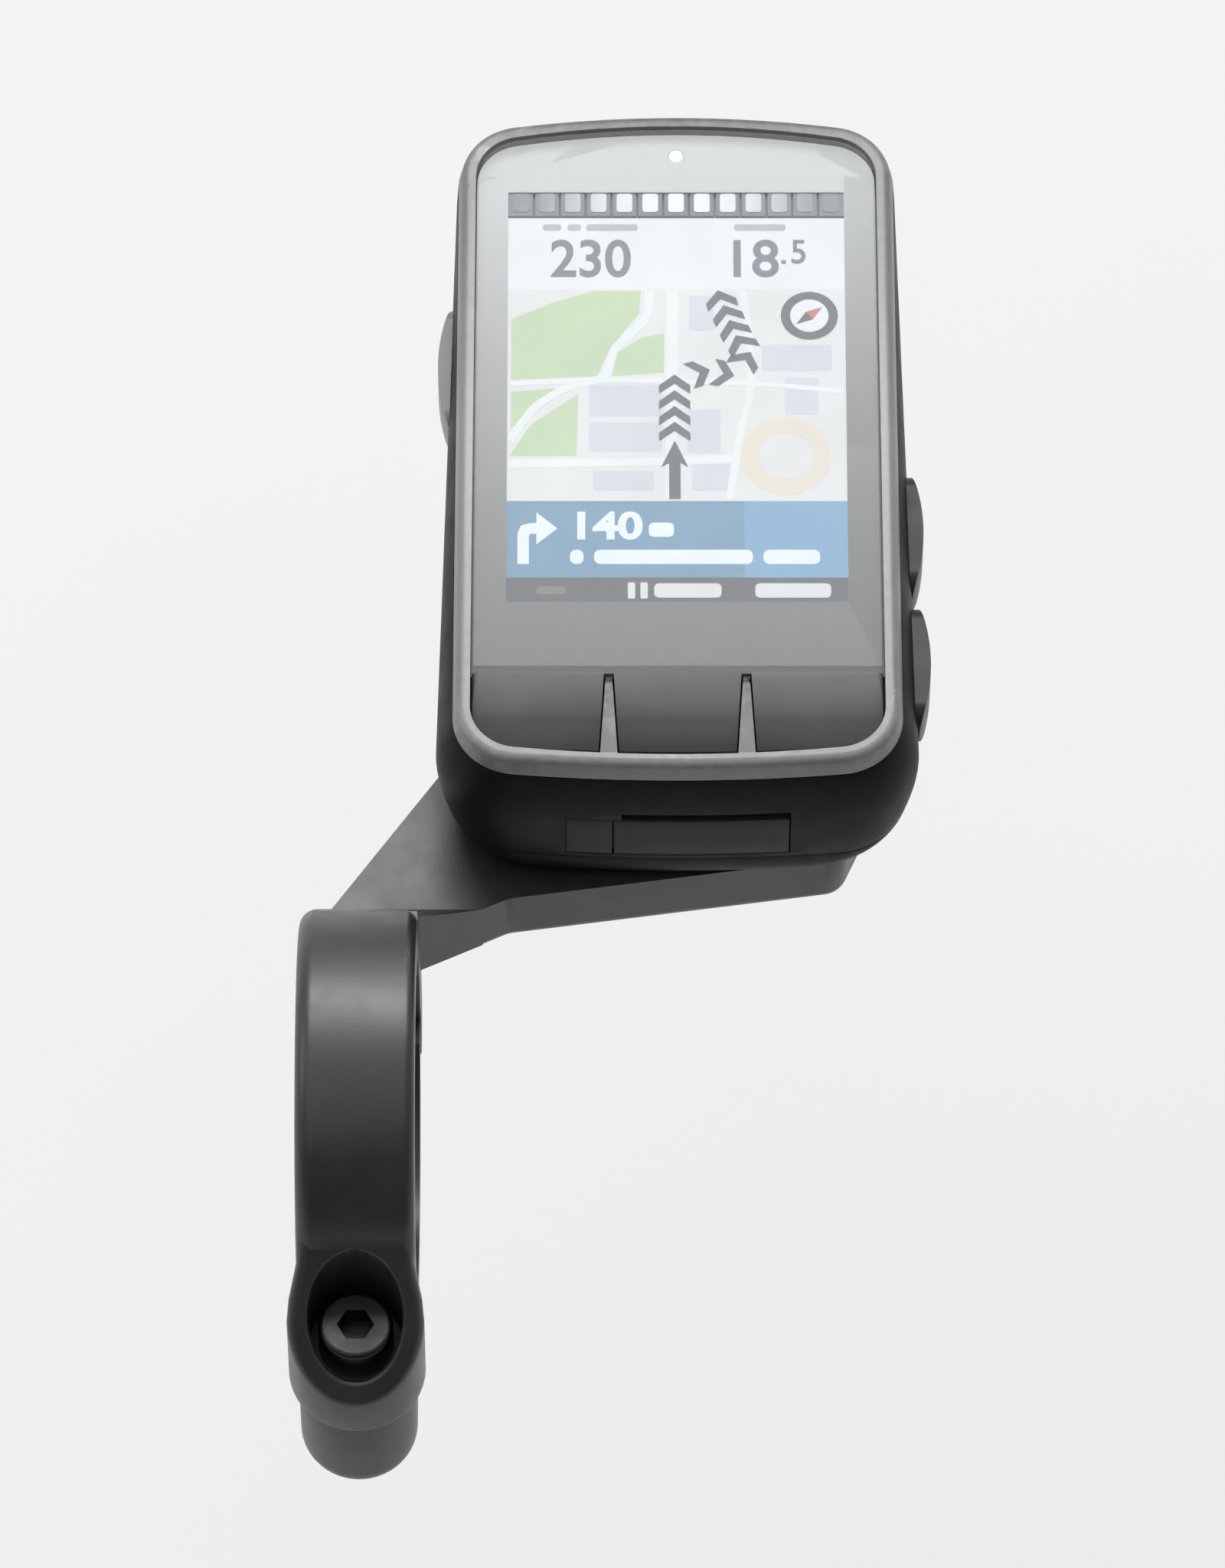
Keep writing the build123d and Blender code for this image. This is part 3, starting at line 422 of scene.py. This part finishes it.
NODE_MATERIALS = {
    "case": ["main_case", "rear_cover"],
    "rim": ["front_frame"],
    "key": ["front_key_left", "front_key_centre", "front_key_right"],
    "button": ["up_button", "down_button"],
    "power": ["power_button"],
    "glass": ["cover_lens"],
    "mask": ["lens_mask"],
    "lights": ["led_light_bar"],
    "display": ["lcd_panel"],
    "rubber": ["case_gasket", "lens_gasket", "key_membrane", "button_seals", "usb_cover", "usb_cover_anchor"],
    "steel": ["case_screws", "insert_screws", "clamp_bolt", "hinge_pin", "clamp_nut"],
    "bright": ["key_domes", "usb_connector", "shield_can"],
    "cast": ["display_chassis"],
    "chip": ["side_switches", "board_chips", "buzzer", "battery_plug", "pressure_sensor"],
    "board": ["led_board", "key_board", "main_board"],
    "film": ["display_flex"],
    "ceramic": ["gnss_antenna", "wireless_antenna"],
    "milky": ["backlight_unit"],
    "sensor": ["light_sensor"],
    "foil": ["battery"],
    "foam": ["battery_pad"],
    "cable": ["battery_cable"],
    "vent": ["vent_membrane"],
    "mount": ["mount_arm", "clamp_jaw"],
    "socket": ["socket_insert"],
}
for key, names in NODE_MATERIALS.items():
    for name in names:
        slots = NODES[name].data.materials
        slots.clear()
        slots.append(MATERIALS[key])

# Small radii on the moulded and machined edges: width in millimetres.
WELD_DISTANCE = 2e-6
SHARP_FROM = math.radians(32)
EDGE_RADII = {
    "main_case": 0.18, "rear_cover": 0.18, "front_frame": 0.25, "usb_cover": 0.12, "usb_cover_anchor": 0.12,
    "front_key_left": 0.12, "front_key_centre": 0.12, "front_key_right": 0.12,
    "power_button": 0.25, "up_button": 0.25, "down_button": 0.25,
    "mount_arm": 0.2, "clamp_jaw": 0.3, "socket_insert": 0.2,
    "clamp_bolt": 0.12, "case_screws": 0.1, "insert_screws": 0.1, "hinge_pin": 0.15,
}
for name, width in EDGE_RADII.items():
    node = NODES[name]
    weld = node.modifiers.new("weld", "WELD")
    weld.merge_threshold = WELD_DISTANCE
    bevel = node.modifiers.new("edge_radius", "BEVEL")
    bevel.width = width * MM
    bevel.segments = 3
    bevel.limit_method = "ANGLE"
    bevel.angle_limit = SHARP_FROM
    bevel.harden_normals = False
    bevel.use_clamp_overlap = True


# ---------------------------------------------------------------- display graphics

PLATE_THICKNESS = 0.02     # millimetres
CAP_HEIGHT = 0.72          # height of a figure as a share of the font's size


def plate(name, loops, level, ink, thickness=PLATE_THICKNESS):
    """A closed flat shape on the display. loops are lists of (x, v); a loop inside another is a hole."""
    curve = bpy.data.curves.new(name, "CURVE")
    curve.dimensions = "2D"
    curve.fill_mode = "BOTH"
    curve.extrude = thickness / 2 * MM
    for loop in loops:
        spline = curve.splines.new("POLY")
        spline.points.add(len(loop) - 1)
        for point, (x, v) in zip(spline.points, loop):
            place = at(x, v, 0)
            point.co = (place.x, place.y, 0, 1)
        spline.use_cyclic_u = True
    drawn = bpy.data.objects.new(name + "_outline", curve)
    bpy.context.scene.collection.objects.link(drawn)
    return finish_plate(name, drawn, level, ink, thickness)


def finish_plate(name, drawn, level, ink, thickness):
    """Turns a curve or text object into a mesh piece on the head unit, its underside at the given level."""
    bpy.context.view_layer.update()
    drawn.location.z = (level + thickness / 2) * MM
    bpy.context.view_layer.update()
    mesh = bpy.data.meshes.new_from_object(drawn.evaluated_get(bpy.context.evaluated_depsgraph_get()))
    mesh.name = name
    mesh.transform(drawn.matrix_world)
    piece = bpy.data.objects.new(name, mesh)
    bpy.context.scene.collection.objects.link(piece)
    bpy.data.objects.remove(drawn)
    mesh.materials.clear()
    mesh.materials.append(ink)
    clean_mesh(mesh)
    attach(piece, "head")
    return piece


def clean_mesh(mesh):
    bm = bmesh.new()
    bm.from_mesh(mesh)
    bmesh.ops.remove_doubles(bm, verts=bm.verts, dist=1e-7)
    bmesh.ops.recalc_face_normals(bm, faces=bm.faces)
    bm.to_mesh(mesh)
    bm.free()


def box_loop(x0, x1, v0, v1, corner=0.0, steps=4):
    if not corner:
        return [(x0, v0), (x1, v0), (x1, v1), (x0, v1)]
    points = []
    for cx, cv, start in ((x1 - corner, v0 + corner, -90), (x1 - corner, v1 - corner, 0),
                          (x0 + corner, v1 - corner, 90), (x0 + corner, v0 + corner, 180)):
        for i in range(steps + 1):
            a = math.radians(start + 90 * i / steps)
            points.append((cx + corner * math.cos(a), cv + corner * math.sin(a)))
    return points


def circle_loop(x, v, r, steps=40):
    return [(x + r * math.cos(2 * math.pi * i / steps), v + r * math.sin(2 * math.pi * i / steps))
            for i in range(steps)]


def smooth_path(points, steps=8):
    """Catmull-Rom curve through the points."""
    padded = [points[0], *points, points[-1]]
    out = []
    for i in range(1, len(padded) - 2):
        p0, p1, p2, p3 = padded[i - 1:i + 3]
        for k in range(steps):
            t = k / steps
            out.append(tuple(
                0.5 * (2 * b + (c - a) * t + (2 * a - 5 * b + 4 * c - d) * t * t
                       + (3 * b - a - 3 * c + d) * t ** 3)
                for a, b, c, d in zip(p0, p1, p2, p3)))
    return out + [points[-1]]


def stroke_loop(points, width):
    """Outline of a line of even width."""
    left, right = [], []
    for i, (x, v) in enumerate(points):
        x0, v0 = points[max(i - 1, 0)]
        x1, v1 = points[min(i + 1, len(points) - 1)]
        length = math.hypot(x1 - x0, v1 - v0)
        nx, nv = -(v1 - v0) / length * width / 2, (x1 - x0) / length * width / 2
        left.append((x + nx, v + nv))
        right.append((x - nx, v - nv))
    return left + right[::-1]


def number(name, text, x, v, height, ink, level, wide=1.0, heavier=0.0):
    """A number whose left edge is at x and whose foot is at v."""
    data = bpy.data.curves.new(name, "FONT")
    data.body = text
    data.size = height / CAP_HEIGHT * MM
    data.extrude = PLATE_THICKNESS / 2 * MM
    data.offset = heavier * MM
    drawn = bpy.data.objects.new(name + "_text", data)
    bpy.context.scene.collection.objects.link(drawn)
    drawn.location = at(x, v, 0)
    drawn.scale = (wide, 1, 1)
    return finish_plate(name, drawn, level, ink, PLATE_THICKNESS)


INK = {
    "field": display_ink("ink_field", "#F1F2F4"),
    "digit": display_ink("ink_digit", "#8D8E94"),
    "label": display_ink("ink_label", "#C0C1C6"),
    "ground": display_ink("ink_ground", "#ECEAE9"),
    "green": display_ink("ink_green", "#CBDCB7"),
    "road": display_ink("ink_road", "#F3F3F2"),
    "block": display_ink("ink_block", "#DCDCE4"),
    "beige": display_ink("ink_beige", "#EFE4D6"),
    "route": display_ink("ink_route", "#78797D"),
    "compass": display_ink("ink_compass", "#7A7A7C"),
    "red": display_ink("ink_red", "#CF8A80"),
    "banner": display_ink("ink_banner", "#8DB1D0"),
    "banner_grey": display_ink("ink_banner_grey", "#84A3BC"),
    "white": display_ink("ink_white", "#F2F6FA"),
    "softkey": display_ink("ink_softkey", "#747577"),
    "softkey_text": display_ink("ink_softkey_text", "#E6E6E6"),
    "softkey_dim": display_ink("ink_softkey_dim", "#8C8A88"),
}
BAR_V = (19.3, 22.2)       # softkey bar
BANNER_V = (22.2, 30.8)
MAP_V = (30.8, 55.0)
FIELD_V = (55.0, 63.05)
L1 = LCD_TOP + 0.005       # layers of the picture, lowest first
L2, L3, L4, L5 = (L1 + 0.022 * i for i in (1, 2, 3, 4))

plate("data_fields", [box_loop(-HALF_W, HALF_W, *FIELD_V)], L1, INK["field"])
plate("map_ground", [box_loop(-HALF_W, HALF_W, *MAP_V)], L1, INK["ground"])
plate("turn_banner", [box_loop(-HALF_W, HALF_W, *BANNER_V)], L1, INK["banner"])
plate("softkey_bar", [box_loop(-HALF_W, HALF_W, *BAR_V)], L1, INK["softkey"])

# light bar: a milky window over each of its lights
LIGHTS = 13
LIGHT_PITCH = 2 * HALF_W / LIGHTS
WINDOW_HALF = 0.76
WINDOW_V = (63.9, 66.05)
BAR_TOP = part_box("led_light_bar")[1].z / MM
WINDOWS = light_strip("light_strip")
for i in range(LIGHTS):
    x = -HALF_W + (i + 0.5) * LIGHT_PITCH
    window = box_loop(x - WINDOW_HALF, x + WINDOW_HALF, *WINDOW_V, 0.3)
    plate(f"light_window_{i}", [window], BAR_TOP + 0.01, WINDOWS, 0.04)

# data fields: two numbers under small label bars
NUMBER_FOOT, NUMBER_HEIGHT = 56.5, 4.3
number("power_number", "230", -12.2, NUMBER_FOOT, NUMBER_HEIGHT, INK["digit"], L2, wide=0.88, heavier=0.1)
number("speed_number", "18", 4.5, NUMBER_FOOT, NUMBER_HEIGHT, INK["digit"], L2, wide=0.92, heavier=0.1)
number("speed_decimal", "5", 11.0, 58.0, 2.8, INK["digit"], L2, wide=0.85, heavier=0.05)
plate("speed_point", [box_loop(10.15, 10.6, 57.9, 58.35, 0.1)], L2, INK["digit"])
for i, (x0, x1) in enumerate(((-12.9, -11.1), (-10.5, -9.2), (-8.7, -3.7), (5.6, 10.6))):
    plate(f"field_label_{i}", [box_loop(x0, x1, 61.75, 62.5, 0.3)], L2, INK["label"])

# map: parks, blocks, a pale ring of streets and the roads between
PARKS = [
    [(-15.9, 51.5), (-12.0, 53.4), (-8.0, 54.8), (-3.4, 54.8), (-3.6, 52.2), (-6.4, 48.2), (-7.6, 45.0),
     (-15.9, 44.6)],
    [(-5.8, 47.6), (-3.4, 49.4), (-1.2, 49.9), (-1.2, 45.4), (-6.2, 45.0)],
    [(-15.9, 43.2), (-11.6, 43.6), (-15.9, 39.0)],
    [(-9.4, 43.0), (-9.6, 35.9), (-16.0, 35.9), (-14.0, 39.4)],
]
for i, park in enumerate(PARKS):
    plate(f"park_{i}", [park], L2, INK["green"])
BLOCKS = [
    (-8.4, -1.4, 40.4, 44.0), (-8.4, -1.4, 36.4, 39.7), (1.0, 4.2, 36.2, 41.2), (8.2, 14.9, 45.6, 48.6),
    (10.4, 13.6, 40.6, 44.8), (1.2, 3.6, 50.2, 54.2), (-8.0, -2.2, 32.0, 34.2), (1.4, 5.4, 32.0, 35.0),
]
for i, (x0, x1, v0, v1) in enumerate(BLOCKS):
    plate(f"city_block_{i}", [box_loop(x0, x1, v0, v1, 0.25)], L2, INK["block"])
RING = (10.4, 35.9)
plate("ring_street", [circle_loop(*RING, 4.4), circle_loop(*RING, 2.6)], L2, INK["beige"])
ROADS = {
    "park_road": ([(-16.0, 37.6), (-13.6, 41.4), (-10.4, 43.7), (-7.0, 45.0), (-5.8, 48.2), (-3.0, 51.6),
                   (-2.6, 54.8)], 0.8),
    "main_road": ([(-0.5, 31.0), (-0.5, 40.0), (-0.4, 48.0), (-0.4, 54.8)], 1.1),
    "cross_road": ([(-16.0, 35.0), (-8.0, 35.1), (0.0, 35.3), (5.8, 35.6)], 0.9),
    "side_road": ([(-16.0, 44.1), (-8.0, 44.5), (0.0, 44.4), (9.0, 44.0), (16.0, 43.2)], 0.55),
    "east_road": ([(5.0, 31.0), (6.0, 38.0), (7.2, 45.0), (6.4, 54.8)], 0.7),
}
for i, (name, (points, width)) in enumerate(ROADS.items()):
    plate(name, [stroke_loop(smooth_path(points), width)], L3 + 0.002 * i, INK["road"], 0.018)

# route: chevrons up the middle, a kink to the right, then up and to the left
ROUTE_X = -0.2
ROUTE = [(ROUTE_X, 38.9, 90), (ROUTE_X, 40.7, 90), (ROUTE_X, 42.5, 90), (ROUTE_X, 44.3, 90), (2.4, 45.4, 20),
         (4.7, 45.2, -12), (6.7, 47.0, 62), (6.1, 48.9, 118), (5.4, 50.6, 112), (4.8, 52.3, 108),
         (4.2, 54.0, 104)]


def chevron(x, v, heading):
    """An arrowhead band with its tip pointing along heading."""
    shape = [(0.85, 0.0), (-0.4, 1.5), (-1.35, 1.5), (-0.2, 0.0), (-1.35, -1.5), (-0.4, -1.5)]
    c, s = math.cos(math.radians(heading)), math.sin(math.radians(heading))
    return [(x + a * c - b * s, v + a * s + b * c) for a, b in shape]


for i, mark in enumerate(ROUTE):
    plate(f"route_mark_{i}", [chevron(*mark)], L4, INK["route"])
plate("route_start", [stroke_loop([(ROUTE_X, 31.0), (ROUTE_X, 36.2)], 1.1)], L4, INK["route"])
plate("position_mark", [[(ROUTE_X, 37.6), (-1.5, 34.6), (ROUTE_X, 35.4), (1.1, 34.6)]], L5, INK["compass"])

# compass in the corner of the map
COMPASS = (12.8, 51.9)
plate("compass_ring", [circle_loop(*COMPASS, 2.75), circle_loop(*COMPASS, 1.85)], L4, INK["compass"])
plate("compass_face", [circle_loop(*COMPASS, 1.9)], L4, INK["field"])
for name, heading, ink in (("compass_north", 38, "red"), ("compass_south", 218, "compass")):
    a = math.radians(heading)
    tip = (COMPASS[0] + 1.6 * math.cos(a), COMPASS[1] + 1.6 * math.sin(a))
    side = (0.55 * math.sin(a), -0.55 * math.cos(a))
    plate(name, [[tip, (COMPASS[0] + side[0], COMPASS[1] + side[1]),
                  (COMPASS[0] - side[0], COMPASS[1] - side[1])]], L5, INK[ink])

# turn banner: arrow up then right, a distance, and a bar where the street's name would be
plate("banner_left", [box_loop(-HALF_W, 6.4, *BANNER_V)], L2, INK["banner_grey"], 0.012)
TURN_ARROW = [(-15.2, 23.7), (-15.2, 27.1), (-14.9, 28.0), (-14.0, 28.3), (-13.4, 28.3), (-13.4, 29.5),
              (-11.4, 27.7), (-13.4, 25.9), (-13.4, 27.1), (-13.9, 27.1), (-14.1, 26.9), (-14.1, 23.7)]
plate("turn_arrow", [TURN_ARROW], L3, INK["white"])
number("turn_distance", "140", -10.3, 26.6, 3.0, INK["white"], L3, wide=1.12, heavier=0.14)
plate("distance_unit", [box_loop(-2.7, -0.3, 26.75, 28.35, 0.5)], L3, INK["white"])
for i, (x0, x1) in enumerate(((-10.2, -8.9), (-7.9, 7.2), (8.2, 13.6))):
    plate(f"street_bar_{i}", [box_loop(x0, x1, 23.7, 25.3, 0.6)], L3, INK["white"])

# softkey bar: plain marks over the keys
PAUSE_V = (19.85, 21.65)
MARK_V = (19.95, 21.55)
pause = [box_loop(-4.7, -4.0, *PAUSE_V, 0.15), box_loop(-3.5, -2.8, *PAUSE_V, 0.15)]
plate("softkey_left", [box_loop(-13.4, -10.6, 20.3, 21.2, 0.4)], L2, INK["softkey_dim"])
plate("softkey_pause", pause, L2, INK["softkey_text"])
plate("softkey_centre", [box_loop(-2.2, 4.2, *MARK_V, 0.5)], L2, INK["softkey_text"])
plate("softkey_right", [box_loop(7.4, 14.6, *MARK_V, 0.5)], L2, INK["softkey_text"])


# ---------------------------------------------------------------- charging-port cover's web

def closed_tube(name, rings, material):
    """A mesh piece skinned over a row of rings of points, with flat ends."""
    bm = bmesh.new()
    rows = [[bm.verts.new(point) for point in ring] for ring in rings]
    sides = len(rows[0])
    for a, b in zip(rows, rows[1:]):
        for k in range(sides):
            bm.faces.new((a[k], a[(k + 1) % sides], b[(k + 1) % sides], b[k]))
    bm.faces.new(rows[0])
    bm.faces.new(rows[-1][::-1])
    bmesh.ops.recalc_face_normals(bm, faces=bm.faces)
    mesh = bpy.data.meshes.new(name)
    bm.to_mesh(mesh)
    bm.free()
    mesh.materials.append(material)
    piece = bpy.data.objects.new(name, mesh)
    bpy.context.scene.collection.objects.link(piece)
    return piece


def flexible_web():
    """Thin rubber web from the fixed end of the port cover to its flap."""
    low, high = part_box("usb_cover_anchor")
    flap_low, flap_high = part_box("usb_cover")
    x0, x1 = high.x - 0.5 * MM, flap_low.x + 0.5 * MM
    y0 = low.y + 0.45 * MM
    y1 = y0 + 0.4 * MM
    z0, z1 = flap_low.z + 0.4 * MM, flap_high.z - 0.4 * MM
    rings = []
    steps = 12
    for i in range(steps + 1):
        x = x0 + (x1 - x0) * i / steps
        thin = 1.0 - 0.4 * math.sin(math.pi * i / steps)
        mid, half = (y0 + y1) / 2, (y1 - y0) / 2 * thin
        rings.append([(x, mid - half, z0), (x, mid + half, z0), (x, mid + half, z1), (x, mid - half, z1)])
    web = closed_tube("usb_cover_web", rings, MATERIALS["rubber"])
    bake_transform(web)


flexible_web()


# ---------------------------------------------------------------- clamp bolt's thread

def bolt_thread():
    """Rolled thread on the lower half of the clamp bolt, fading out at both ends."""
    low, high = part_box("clamp_bolt")
    x, y = (low.x + high.x) / 2, (low.y + high.y) / 2
    core = 1.7 * MM
    root = 1.93 * MM
    crest = 2.12 * MM
    half = 0.26 * MM
    pitch = 0.7 * MM
    length = 9.0 * MM
    steps = 40
    fade = 20
    count = int(steps * length / pitch)
    rings = []
    for i in range(count + 1):
        a = 2 * math.pi * i / steps
        z = low.z + 0.6 * MM + pitch * i / steps
        top = root + (crest - root) * min(1.0, i / fade, (count - i) / fade)
        section = ((core, -half), (root, -half), (top, 0.0), (root, half), (core, half))
        rings.append([(x + r * math.cos(a), y + r * math.sin(a), z + dz) for r, dz in section])
    thread = closed_tube("clamp_bolt_thread", rings, MATERIALS["steel"])
    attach(thread, "clamp_bolt")


bolt_thread()


# ---------------------------------------------------------------- studio

CENTRE = (Vector(CAD_BOX[0]) + Vector(CAD_BOX[1])) / 2
AZIMUTH, ELEVATION = 0.0, 59.0
CAMERA_DISTANCE = 1.1
FRAME_HEIGHT = 0.150       # height of the view at the object
SENSOR_HEIGHT = 36
FLOOR_DROP = 0.16
FLOOR_HALF = 12.0


def floor_material():
    """Plain pale floor, clear from below so that the underside of the object can be seen."""
    g = Graph("pale_floor")
    tone = g.ramp(g.noise(4, 3), (0.3, linear("#D9D9D9")), (0.7, linear("#DBDBDB")))
    behind = g.add("ShaderNodeNewGeometry").outputs["Backfacing"]
    shader = g.principled(tone, 0.9, Specular_IOR_Level=0.1)
    g.link(g.math("SUBTRACT", 1.0, behind), shader, "Alpha")
    return g.mat


def make_floor():
    mesh = bpy.data.meshes.new("floor")
    z = CAD_BOX[0][2] - FLOOR_DROP
    r = FLOOR_HALF
    mesh.from_pydata([(-r, -r, z), (r, -r, z), (r, r, z), (-r, r, z)], [], [(0, 1, 2, 3)])
    mesh.materials.append(floor_material())
    floor = bpy.data.objects.new("floor", mesh)
    bpy.context.scene.collection.objects.link(floor)


def softbox(name, place, aim, size, power):
    data = bpy.data.lights.new(name, "AREA")
    data.shape = "RECTANGLE"
    data.size, data.size_y = size
    data.energy = power
    light = bpy.data.objects.new(name, data)
    bpy.context.scene.collection.objects.link(light)
    light.location = place
    light.rotation_euler = (Vector(aim) - Vector(place)).to_track_quat("-Z", "Y").to_euler()


make_floor()
softbox("back_softbox", (0.05, 1.45, 1.75), CENTRE, (2.0, 1.1), 44)
softbox("top_softbox", (-0.5, -0.2, 2.0), CENTRE, (2.2, 2.2), 10)
softbox("side_softbox", (-1.8, 0.4, 0.8), CENTRE, (0.8, 1.0), 4)


def studio_world():
    """Pale surroundings, brightest beyond the object and dimmer behind the camera."""
    world = bpy.data.worlds.new("studio")
    bpy.context.scene.world = world
    world.use_nodes = True
    tree = world.node_tree
    coords = tree.nodes.new("ShaderNodeTexCoord")
    parts = tree.nodes.new("ShaderNodeSeparateXYZ")
    slope = tree.nodes.new("ShaderNodeMapRange")
    for key, value in (("From Min", -1.0), ("From Max", 0.8), ("To Min", 0.12), ("To Max", 0.80)):
        slope.inputs[key].default_value = value
    sky = tree.nodes["Background"]
    tree.links.new(coords.outputs["Generated"], parts.inputs[0])
    tree.links.new(parts.outputs["Y"], slope.inputs["Value"])
    tree.links.new(slope.outputs["Result"], sky.inputs["Strength"])
    sky.inputs["Color"].default_value = (1.0, 1.0, 1.0, 1.0)


studio_world()
bpy.context.scene.view_settings.view_transform = "Standard"

camera_data = bpy.data.cameras.new("camera")
camera_data.sensor_fit = "VERTICAL"
camera_data.sensor_height = SENSOR_HEIGHT
camera_data.lens = SENSOR_HEIGHT * CAMERA_DISTANCE / FRAME_HEIGHT
camera = bpy.data.objects.new("camera", camera_data)
bpy.context.scene.collection.objects.link(camera)
a, e = math.radians(AZIMUTH), math.radians(ELEVATION)
away = Vector((-math.sin(a) * math.cos(e), -math.cos(a) * math.cos(e), math.sin(e)))
camera.location = CENTRE + away * CAMERA_DISTANCE
camera.rotation_euler = (-away).to_track_quat("-Z", "Y").to_euler()
bpy.context.scene.camera = camera
